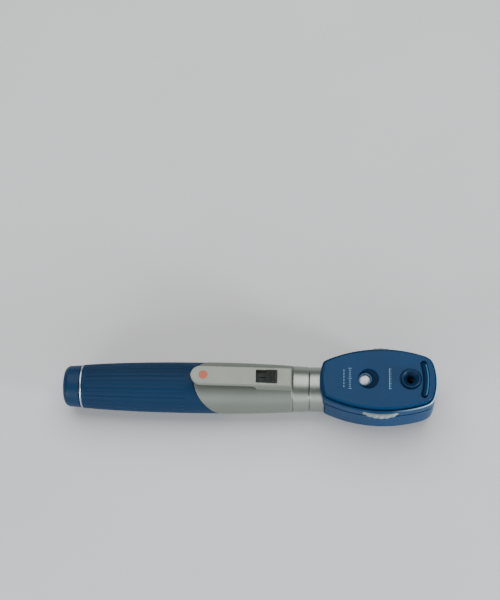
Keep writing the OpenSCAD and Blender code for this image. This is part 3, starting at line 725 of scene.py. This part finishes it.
def zrev(x, y, prof, n=128):
    t = np.linspace(0, 2 * np.pi, n, endpoint=False)
    return grid([np.c_[x + r * np.cos(t), y + r * np.sin(t), np.full(n, z)] for z, r in prof], cap0=True, cap1=True)


def xcyl(x0, x1, r, n=160):
    t = np.linspace(0, 2 * np.pi, n, endpoint=False)
    return grid([np.c_[np.full(n, x), r * np.cos(t), r * np.sin(t)] for x in (x0, x1)], cap0=True, cap1=True)


def lip(r0, z_top, z_bot, f=0.2):
    """cutter profile from z_bot to above z_top with a rounded mouth of radius f"""
    p = [(z_bot, r0), (z_top - f, r0)]
    for t in (20, 40, 58, 74):
        p.append((z_top - f + f * math.sin(math.radians(t)), r0 + f * (1 - math.cos(math.radians(t)))))
    p.append((z_top + 0.02, r0 + f * 0.95))
    p.append((z_top + 3, r0 + f * 0.95))
    return p


ang_c = ANG[::2]
cav_levels = lambda z0, z1: [(z0, 5.6), (z0 + 1.4, 3.4), (z0 + 4.1, 2.1), (z0 + 5.5, WALL), (z1, WALL)]
SCREWS = [(129.6, 7.1), (129.6, -7.1), (169.6, 6.6), (169.6, -6.6)]


def dial_room(z0, z1):
    """room for the dial: a straight round cutter 0.35 wider than the dial"""
    return solid("dr", zrev(DIAL_X, 0, [(z0, DIAL_R + 0.35), (z1, DIAL_R + 0.35)], 192))


# --- patient side
R = 7.0
lv = [(-BACK + R * (1 - math.cos(math.radians(t))), R * (1 - math.sin(math.radians(t))), 0.6) for t in range(0, 91, 6)]
lv += [(0.0, 0.0), (4.0, 0.0)] + [(PART + z, d) for z, d in ((-0.75, 0.0), (-0.62, 0.04), (-0.53, 0.14), (-0.5, 0.3), (-0.5, 0.7), (-0.05, 0.7))]
rear = solid("rear", loft(lv))
cut(rear, cut(solid("cav", loft(cav_levels(-8.6, 30), ang_c)), box(100, 125, -30, 30, -30, 40)))
hollow_c = solid("hol", grid([[(133 + 60 * math.cos(t), y, -BACK + 1.6 - 60 + 60 * math.sin(t)) for t in np.linspace(0, 2 * np.pi, 240, endpoint=False)] for y in (-30, 30)], cap0=True, cap1=True))
cut(rear, hollow_c)
cut(rear, solid("c1", xcyl(100, 123.25, 10.5)), solid("c2", xcyl(100, 126, 7.95)))
cut(rear, dial_room(6.9, 11.5))
t = np.linspace(0, 2 * np.pi, 160, endpoint=False)
slot_a = solid("sa", grid([np.c_[np.full(160, x), r * np.cos(t), -4.5 + r * np.sin(t)] for x, r in ((136.5, 7.75), (136.7, 7.55), (139.5, 7.55), (139.7, 7.75))], cap0=True, cap1=True))
win_a = box(EYE_X - 9.2, EYE_X + 2.0, -3.9, 3.9, -20, 0)
bevel(win_a, 0.8, 4, 20)
cut(rear, slot_a, win_a)
cut(rear, box(EYE_X - 10.0, EYE_X + 2.8, -4.7, 4.7, -11.3, 0))
for x, y in SCREWS:
    z1 = -8.1 if x < 150 else -9.1
    cut(rear, solid("s", zcyl(x, y, 1.95, -20, z1, 48)))


def outline(c, d):
    """1 for points that lie within the outline inset by d"""
    dx, dy = c[:, 0] - OCX, c[:, 1]
    return np.hypot(dx, dy) < orad(np.arctan2(dy, dx), d)


def painted_shade_faces(c):
    """parting line, readout hollow and brow channel, which take painted shade"""
    edge = ~outline(c, 1.75) & outline(c, 0.25)
    line = edge & (c[:, 2] > PART - 0.51) & (c[:, 2] < PART + 0.43) & outline(c, 0.29)
    near = np.hypot(c[:, 0] - READ_X, c[:, 1])
    cup = (near < 4.86) & (near > 2.0) & (c[:, 2] < FACE - 0.12) & (c[:, 2] > FACE - 2.2)
    arcr = np.hypot(c[:, 0] - 142.3, c[:, 1])
    chan = (arcr > 26.35) & (arcr < 27.2) & (c[:, 0] > 166) & (c[:, 2] < FACE - 0.22) & (c[:, 2] > FACE - 1.75) & (np.abs(c[:, 1]) < 10)
    return line | cup | chan


def painted_highlight_rim_faces(c):
    """rounded outer rim of the examiner's side, which takes a painted highlight"""
    return (c[:, 2] > 12.3) & (c[:, 2] < 13.0) & ~outline(c, 0.5) & (c[:, 0] > 155)


# painted shade on the parting groove faces
finish_piece(rear, "rear_shell_moulded", M["flank"], "head", ["rear_shell"], 30, painted_light_faces=[(M["shade"], painted_shade_faces)])

# --- examiner's side
lv = [(PART + z, d) for z, d in ((0.05, 0.7), (0.42, 0.7), (0.42, 0.3), (0.45, 0.14), (0.54, 0.04), (0.67, 0.0))]
lv += [(10.0, 0.0), (12.1, 0.0), (12.38, 0.03), (12.62, 0.1), (12.82, 0.21), (12.95, 0.35), (12.96, 0.47), (12.88, 0.56), (12.7, 0.62), (12.46, 0.68), (12.4, 0.74),
       (12.4, PIN - 0.05), (12.46, PIN + 0.02), (13.4, PIN + 0.02), (14.3, PIN)]
for t in (10, 20, 32, 44, 56, 68, 79, 90):
    lv.append((14.3 + 0.6 * math.sin(math.radians(t)), PIN + 0.62 * (1 - math.cos(math.radians(t)))))
front = solid("front", loft(lv))
cut(front, cut(solid("cav", loft([(0, WALL), (FACE - 2.8, WALL), (FACE - 2.6, WALL + 0.2)], ang_c)), box(100, 125, -30, 30, -30, 40)))
cut(front, dial_room(6.9, 11.3))
cut(front, solid("c1", xcyl(100, 123.25, 10.5)), solid("c2", xcyl(100, 126, 7.95)))
# eyecup seat and viewing hole
cut(front, solid("e1", zrev(EYE_X, 0, [(5, 3.4), (FACE - 0.88, 3.4), (FACE - 0.87, 4.97)] + lip(4.97, FACE, FACE - 0.8, 0.22)[0:])))
# readout pocket: a dished, slanting hollow
prof = [(0.05, 5.02, 0.0), (0.0, 5.0, 0.0), (-0.03, 4.92, 0.0), (-0.1, 4.84, -0.01), (-0.22, 4.77, -0.04), (-0.5, 4.55, -0.22), (-0.85, 4.15, -0.6), (-1.15, 3.62, -1.05), (-1.3, 3.28, -1.38), (-1.36, 3.2, -1.45), (-1.75, 3.15, -1.5)]
t = np.linspace(0, 2 * np.pi, 128, endpoint=False)
TILT = math.radians(9)


def tilted(cx, z, r, k):
    """circle tipped towards the neck by k of the full slant"""
    return np.c_[cx + r * np.cos(t), r * np.sin(t), z + r * np.cos(t) * math.tan(TILT) * k]


rr = [tilted(READ_X + dx, FACE + dz, r, 0 if dz > -0.15 else min(1, (-dz - 0.15) / 0.9)) for dz, r, dx in prof][::-1]
rr.append(np.c_[READ_X + 5.02 * np.cos(t), 5.02 * np.sin(t), np.full(128, FACE + 3)])
cut(front, solid("pk", grid(rr, cap0=True, cap1=True)))
cut(front, solid("pk2", zcyl(READ_X - 1.6, 0, 2.45, 5, FACE + 1, 96)))


# brow channel
def sweep_arc(prof, R0, cx, half, n=64, ends=True):
    """swept section (dr, z) along an arc about (cx, 0) with half angle in mm of y"""
    a1 = math.asin(half / R0)
    rows = []
    for i in range(n + 1):
        a = -a1 + 2 * a1 * i / n
        rows.append([(cx + (R0 + dr) * math.cos(a), (R0 + dr) * math.sin(a), z) for dr, z in prof])
    return grid(rows, cap0=True, cap1=True)


ch = [(-1.55, FACE - 1.7), (1.55, FACE - 1.7), (1.55, FACE - 0.18), (1.6, FACE - 0.06), (1.7, FACE + 0.02), (1.7, FACE + 2), (-1.7, FACE + 2), (-1.7, FACE + 0.02), (-1.6, FACE - 0.06), (-1.55, FACE - 0.18)]
cut(front, solid("ch", sweep_arc(ch, 28.0, 142.3, 7.7)))
for s in (-1, 1):
    cut(front, solid("che", zrev(142.3 + math.sqrt(28 * 28 - 7.7 * 7.7), s * 7.7, [(FACE - 1.71, 1.55), (FACE - 0.18, 1.55), (FACE - 0.06, 1.6), (FACE + 0.02, 1.7), (FACE + 2, 1.7)], 64)))
# painted shade in the grooves and hollows, and a painted highlight on the crown's rim
finish_piece(front, "front_shell_moulded", M["flank"], "head", ["front_shell"], 30, painted_light_faces=[(M["shade"], painted_shade_faces), (M["rim"], painted_highlight_rim_faces)], flat=M["head"])

# ------------------------------------------------------------------ eyecup, brow rest, readout
ec = [(11.9, 1.7), (11.9, 3.35), (FACE - 0.86, 3.35), (FACE - 0.86, 4.45), (FACE - 0.6, 4.52), (FACE + 0.9, 4.5), (FACE + 1.2, 4.44), (FACE + 1.38, 4.33), (FACE + 1.47, 4.2), (FACE + 1.5, 4.06),
      (FACE + 1.46, 3.92), (FACE + 1.34, 3.78), (FACE + 1.1, 3.6), (FACE + 0.4, 3.05), (FACE - 0.5, 2.3), (FACE - 1.0, 1.85), (FACE - 1.3, 1.72)]
finish_piece(solid("ec", revolve(ec, 128, axis="Z", at=(EYE_X, 0))), "eyecup_moulded", M["eyecup"], "head", ["eyecup"], 42)

bs = [(-1.22, FACE - 1.65), (-1.25, FACE - 1.45), (-1.2, FACE - 1.32), (-1.05, FACE - 1.26), (-0.7, FACE - 1.2), (-0.3, FACE - 1.02), (0.1, FACE - 0.72), (0.45, FACE - 0.36), (0.7, FACE - 0.08), (0.86, FACE + 0.08),
      (1.0, FACE + 0.14), (1.14, FACE + 0.08), (1.26, FACE - 0.08), (1.33, FACE - 0.4), (1.33, FACE - 1.65)]
a1 = math.asin(8.4 / 28.0)
rows = []
for i in range(61):
    u = -1 + 2 * i / 60
    a = a1 * u
    k = 1.0
    e = (abs(u) - 0.82) / 0.18
    if e > 0:
        k = math.sqrt(max(1 - e * e, 0.02))
    rows.append([(142.3 + (28 + dr * k) * math.cos(a), (28 + dr * k) * math.sin(a), FACE - 1.65 + (z - FACE + 1.65) * (0.3 + 0.7 * k * k)) for dr, z in bs])
brow = solid("brow", grid(rows, cap0=True, cap1=True))
# painted shade on the brow's low floor, and a paler painted highlight on its ridge top
finish_piece(brow, "brow_rest_moulded", M["brow"], "head", ["brow_rest"], 40, painted_light_faces=[(M["shade"], lambda c: c[:, 2] < FACE - 1.0), (M["ridge"], lambda c: c[:, 2] > FACE - 0.02)])


def tipped(prof, cx, z0, n=96):
    t = np.linspace(0, 2 * np.pi, n, endpoint=False)
    rows = []
    for z, r in prof:
        rows.append(np.c_[cx + r * np.cos(t), r * np.sin(t), z0 + z + r * np.cos(t) * math.tan(TILT)])
    return rows


bz = [(-1.75, 2.42), (-1.75, 3.1), (-1.25, 3.12), (-1.12, 3.05), (-1.08, 2.9), (-1.14, 2.72), (-1.3, 2.58), (-1.6, 2.44)]
finish_piece(solid("bz", grid(tipped(bz, READ_X - 1.6, FACE), close_rows=True)), "readout_bezel_ring", M["ring"], "head", ["readout_bezel"], 40)
lz = [(-2.3, 2.38), (-1.9, 2.38)] + [(-1.9 + 0.75 * math.sin(math.radians(a)), 2.3 * math.cos(math.radians(a))) for a in (0, 12, 24, 36, 48, 60, 72, 82)] + [(-1.148, 0.02)]
finish_piece(solid("lz", grid(tipped(lz, READ_X - 1.75, FACE), cap0=True, cap1=True)), "readout_lens_dome", M["lens"], "head", ["readout_lens"], 60)
# pale dioptre scale under the readout lens
sc = [(-2.75, 2.35), (-2.45, 2.35), (-2.42, 2.3)]
finish_piece(solid("sc", grid(tipped(sc, READ_X - 1.75, FACE), cap0=True, cap1=True)), "readout_scale_disc", M["scale"], "head", (), 40)

# ------------------------------------------------------------------ printed marks (generic graduations)
parts = []


def bar(x, y, lx, ly):
    parts.append(box_vf(x - lx / 2, x + lx / 2, y - ly / 2, y + ly / 2, FACE - 0.05, FACE + 0.025))


for i in range(11):
    y = -5.0 + i * 1.0
    bar(135.2, y, 1.5 if i % 5 == 0 else 0.9, 0.22)
for i in range(6):
    bar(132.4, -3.9 + i * 1.55, 0.28, 1.0)
bar(153.4, 0.0, 0.24, 10.4)
for i in range(9):
    y = -4.8 + i * 1.2
    bar(153.95, y, 0.9 if i % 2 == 0 else 0.55, 0.2)
finish_piece(raw("mk", *join(parts)), "face_marks", M["mark"], "head", (), 30, weighted=False)

# ------------------------------------------------------------------ carried-over CAD parts: eased edges
for node, w in (("lens_dial", 0.00012), ("aperture_wheel", 0.0001), ("shell_screws", 0.00008), ("clip_badge", 0.00005), ("switch_bed", 0.00008), ("patient_window", 0.0001), ("mirror", 0.0001)):
    o = N[node]
    b = o.modifiers.new("eased", "BEVEL")
    b.width, b.segments, b.limit_method, b.angle_limit = w, 2, "ANGLE", math.radians(40)
for o in N.values():
    o.data.polygons.foreach_set("use_smooth", [True] * len(o.data.polygons))
    o.data.set_sharp_from_angle(angle=math.radians(30))

# ------------------------------------------------------------------ stage, light, camera
me = bpy.data.meshes.new("floor")
me.from_pydata([(-3, -3, -0.00005), (3, -3, -0.00005), (3, 3, -0.00005), (-3, 3, -0.00005)], [], [(0, 1, 2, 3)])
floor = bpy.data.objects.new("floor", me)
COL.objects.link(floor)
fm = Mat("floor_paper")
fm.link(fm.ramp(fm.noise(6, 3), [(0.3, srgb(196, 196, 197)), (0.7, srgb(202, 202, 203))]), fm.b.inputs["Base Color"])
fm.b.inputs["Roughness"].default_value = 0.8
fm.b.inputs["Specular IOR Level"].default_value = 0.2
fm.bump((fm.noise(900, 3), 0.08, 0.00005))
me.materials.append(fm.m)

world = bpy.data.worlds.new("world")
bpy.context.scene.world = world
world.use_nodes = True
world.node_tree.nodes["Background"].inputs["Color"].default_value = (0.86, 0.9, 0.95, 1)
world.node_tree.nodes["Background"].inputs["Strength"].default_value = 0.15


def area(name, loc, target, size, size_y, power, color=(1, 1, 1)):
    d = bpy.data.lights.new(name, "AREA")
    d.shape, d.size, d.size_y, d.energy, d.color = "RECTANGLE", size, size_y, power, color
    o = bpy.data.objects.new(name, d)
    COL.objects.link(o)
    o.location = loc
    o.rotation_euler = (Vector(target) - Vector(loc)).to_track_quat("-Z", "Y").to_euler()
    return o


area("key", (0.0, 0.46, 1.0), (0.0, 0.0, 0.01), 1.6, 1.2, 20.0)
area("front", (0.0, -1.1, 0.46), (0.0, 0.0, 0.02), 1.6, 0.8, 8.8, (0.94, 0.97, 1))
area("right", (0.84, -0.34, 0.14), (0.07, 0.0, 0.01), 0.16, 0.2, 12.0, (0.94, 0.98, 1))
area("left", (-0.50, -0.50, 0.20), (0.0, 0.0, 0.01), 0.3, 0.3, 3.0, (0.94, 0.97, 1))

cam_d = bpy.data.cameras.new("camera")
cam = bpy.data.objects.new("camera", cam_d)
COL.objects.link(cam)
cam_d.sensor_width = 36
cam_d.lens = 83.08
cam_d.clip_start, cam_d.clip_end = 0.01, 20
r2, u2, b2 = Vector((0.99842, 0.03216, -0.04607)), Vector((-0.00993, 0.90809, 0.41867)), Vector((0.05530, -0.41755, 0.90697))
b2.normalize(); r2 = (r2 - b2 * r2.dot(b2)).normalized(); u2 = b2.cross(r2)
rot = Matrix((r2, u2, b2)).transposed()
cam.matrix_world = Matrix.Translation(((124.09 - L / 2) * MM, -0.23603, (613.04 + LIFT) * MM)) @ rot.to_4x4()
bpy.context.scene.camera = cam
